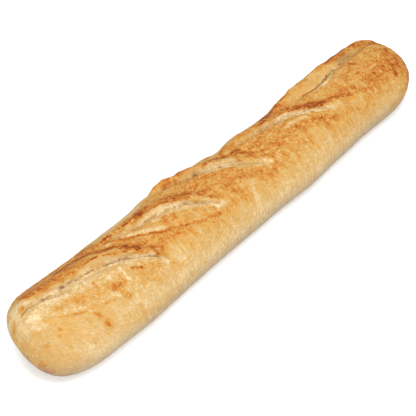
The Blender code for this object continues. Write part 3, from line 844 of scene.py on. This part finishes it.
flankTone = {
    # heights over the sole, and how strongly each colour covers
    # the flour and painted shade of the lower flank fade out between these heights
    "grey": (8 * mm, 34 * mm), "greyShare": 0.8,
    "heelFrom": (6 * mm, 8 * mm), "heelTo": (8.5 * mm, 11 * mm),
    "heelWander": 4 * mm, "heelGaps": (0.3, 0.6), "heelShare": 0.7,
    "sole": (1.5 * mm, 4 * mm), "soleShare": 0.6, "soleGrain": 0.5,
}

creaseShading = {
    # painted shade along the creases and in the holes: distances from the deepest line, where it
    # breaks up, and how strongly it covers
    "wander": 2.4 * mm,
    "cast": (0.4 * mm, 2.6 * mm), "castGaps": (0.38, 0.6), "castShare": 0.3,
    "line": (0.2 * mm, 1.2 * mm), "lineGaps": (0.38, 0.6),
    "holeShare": 0.85,
}


def crustFinish():
    crust, look = Finish("crust"), crustGrain

    def mottling(name, where):
        return crust.speckle(where, *look[name][1:])

    def swing(name, noise):
        # what one mottling adds to the bake
        return (noise - look["middles"].get(name, 0.5)) * look[name][0]

    def lines(name, where, width):
        # thin lines where the noise passes its middle
        return 1 - abs(mottling(name, where) - 0.5).rise(*look[width])

    place = crust.add("ShaderNodeTexCoord", {}, {}, "Object")
    height = crust.add("ShaderNodeSeparateXYZ", {}, {"Vector": place}, "Z")
    along, around = crust.mask("along"), crust.mask("around")
    crumb, wall, blister = crust.mask("crumb"), crust.mask("wall"), crust.mask("blister")
    torn = (crumb + wall).clip()

    # streaks are pulled out round the loaf, and strokes along the slashes
    def flat(x, y):
        return crust.add("ShaderNodeCombineXYZ", {}, {"X": x, "Y": y, "Z": 0})

    upright = flat(along, around * look["streakPull"])
    cos, sin = look["slant"]
    slanted = flat((along * cos + around * sin) * look["slantPull"], around * cos - along * sin)
    streaks, wrinkles = mottling("streaks", upright), mottling("wrinkles", upright)
    threads = lines("threads", upright, "hairline")
    blotches, fine, dust = (mottling(name, place) for name in ("blotches", "fine", "dust"))
    strokes, strands = mottling("strokes", slanted), lines("strands", slanted, "hairline")
    worms = lines("worms", place, "thread")
    # pale specks, partly flour and partly painted glints
    cells = crust.add("ShaderNodeTexVoronoi", {},
                      {"Vector": place, "Scale": 1 / look["specksAndGlints"][1]}, "Distance")
    specksAndGlints = (1 - cells.rise(*look["speckSize"])) * blotches.rise(*look["speckZone"])

    baked = crust.mask("bake")
    amount = look["least"] + baked * look["more"] + crumb * look["crumb"]
    mottle = (swing("blotches", blotches) + swing("fine", fine) + swing("dust", dust)
              - swing("worms", worms) - specksAndGlints * look["specksAndGlints"][0]) * amount
    toasted = baked.rise(*look["toasted"]) * (1 - crumb * look["crumbCalm"])
    # the strands are painted highlights of glossy bubbles
    dashes = swing("strokes", strokes) - swing("strands", strands)
    least = look["bluntShare"]
    fade = least + (1 - least) * along.rise(*look["bluntEnd"])
    shoulder = around.rise(*look["drip"]) * (1 - around.rise(*look["dripEnd"]))
    drip = (1 - torn) * (look["dripLeast"] + look["dripMore"] * shoulder) * fade
    folds = swing("wrinkles", wrinkles) + threads * look["threads"][0]
    # the last term is a painted highlight: blisters paler on browned crust
    bake = (baked + mottle + dashes * toasted + swing("streaks", streaks) * drip
            + folds * (1 - torn) * fade
            - blister * look["blisters"] * baked.rise(*look["blisterBake"]))
    colour = crust.add("ShaderNodeValToRGB", {"stops": colours["bakeSteps"]}, {"Fac": bake.clip()})

    # the lower flank is greyer with flour and painted shade where it turns down, a thin brown line
    # runs round the heel, and the sole is plain brown
    low = (1 - height.rise(*flankTone["grey"])) * (1 - torn)
    heel = height + (fine - 0.5) * flankTone["heelWander"]
    heel = heel.rise(*flankTone["heelFrom"]) * (1 - heel.rise(*flankTone["heelTo"]))
    heel *= blotches.rise(*flankTone["heelGaps"])
    sole = flankTone["soleShare"] + fine * flankTone["soleGrain"]
    sole = (1 - height.rise(*flankTone["sole"])) * sole

    # every crease gets painted shade: a broad brown cast, a thin dark line in it, and dark holes
    off = abs(crust.mask("fromCrease") + (fine - 0.5) * creaseShading["wander"])
    cast = torn * (1 - off.rise(*creaseShading["cast"])) * fine.rise(*creaseShading["castGaps"])
    line = torn * (1 - off.rise(*creaseShading["line"])) * blotches.rise(*creaseShading["lineGaps"])
    covers = {"lowFlankShadeAndFlour": low * flankTone["greyShare"], "heelLine": heel * flankTone["heelShare"],
              "sole": sole, "creaseShade": cast * creaseShading["castShare"],
              "creaseShadeLine": line * crust.mask("line"),
              "hole": crust.mask("pit") * creaseShading["holeShare"]}
    for name, cover in covers.items():
        colour = crust.mix(cover, colour, paint(*colours[name]))

    crust.feed("Base Color", colour)
    crust.feed("Roughness", look["rough"] + (fine - 0.5) * look["fineRough"]
               - blister * look["blisterGloss"] + crumb * look["crumbRough"])
    crust.feed("Specular IOR Level", look["specular"])
    noises = (fine, dust, worms, strands, specksAndGlints)
    bumps = sum(noise * share for noise, share in zip(noises, look["bumps"]))
    bump = crust.add("ShaderNodeBump", {}, {"Strength": look["bumpShare"],
                                            "Distance": look["bump"], "Height": bumps})
    crust.feed("Normal", bump)
    return crust.material


piece.data.materials.append(crustFinish())
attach(piece, "root")
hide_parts("loaf")
print("crust coloured")


paleFloor = {
    "size": 6,
    "grey": 0.9,
    "glow": 0.13,  # keeps the loaf's shadow light
}


def layFloor():
    bpy.ops.object.select_all(action="DESELECT")
    bpy.ops.mesh.primitive_plane_add(size=paleFloor["size"])
    floor = bpy.context.object
    floor.name = floor.data.name = "floor"
    pale = Finish("paleFloor")
    grey = paleFloor["grey"]
    pale.feed("Base Color", (grey, grey, grey, 1))
    pale.feed("Emission Color", (1, 1, 1, 1))
    pale.feed("Emission Strength", paleFloor["glow"])
    floor.data.materials.append(pale.material)


layFloor()
print("floor laid")

camera = {
    "turn": 47.3, "tilt": 50,  # degrees round the loaf and above it
    "distance": 1,
    "lens": 101.97, "sensor": 36, "pictureWidth": 416,
    "target": (0, 0, 0.03),
    "offset": (-18.78, 17.9),  # what the target is off the middle, pixels
}


def placeCamera():
    turn, tilt = math.radians(camera["turn"]), math.radians(camera["tilt"])
    right = Vector((math.cos(turn), -math.sin(turn), 0))
    away = Vector((math.sin(turn), math.cos(turn), 0))
    forward = away * math.cos(tilt) - Vector((0, 0, 1)) * math.sin(tilt)
    up = right.cross(forward)
    data = bpy.data.cameras.new("camera")
    data.lens = camera["lens"]
    eye = bpy.data.objects.new("camera", data)
    bpy.context.scene.collection.objects.link(eye)
    eye.location = Vector(camera["target"]) - forward * camera["distance"]
    perPixel = camera["distance"] * camera["sensor"] / camera["lens"] / camera["pictureWidth"]
    aside, below = camera["offset"]
    aim = Vector(camera["target"]) + (right * aside - up * below) * perPixel
    eye.rotation_euler = (aim - eye.location).to_track_quat("-Z", "Y").to_euler()
    bpy.context.scene.camera = eye


placeCamera()
print("camera placed")

studio = {
    "sky": 0.46,
    # each softbox: place, size and watts
    "softboxes": (((-0.9, -0.8, 1.3), 0.7, 14.7), ((0.8, -0.8, 1.3), 0.7, 5),
                  ((-0.2, -0.3, 1.6), 0.6, 11.3), ((0.3, 0.9, 1.1), 0.8, 4)),
}


def lightStudio():
    world = bpy.data.worlds.new("studio")
    world.use_nodes = True
    sky = world.node_tree.nodes["Background"]
    sky.inputs["Color"].default_value = (1, 1, 1, 1)
    sky.inputs["Strength"].default_value = studio["sky"]
    bpy.context.scene.world = world
    bpy.context.scene.view_settings.view_transform = "Standard"
    for place, size, watts in studio["softboxes"]:
        bpy.ops.object.light_add(type="AREA", location=place)
        lamp = bpy.context.object
        lamp.name = lamp.data.name = "softbox"
        lamp.data.size, lamp.data.energy = size, watts
        lamp.rotation_euler = (-Vector(place)).to_track_quat("-Z", "Y").to_euler()


lightStudio()
print("studio lit")
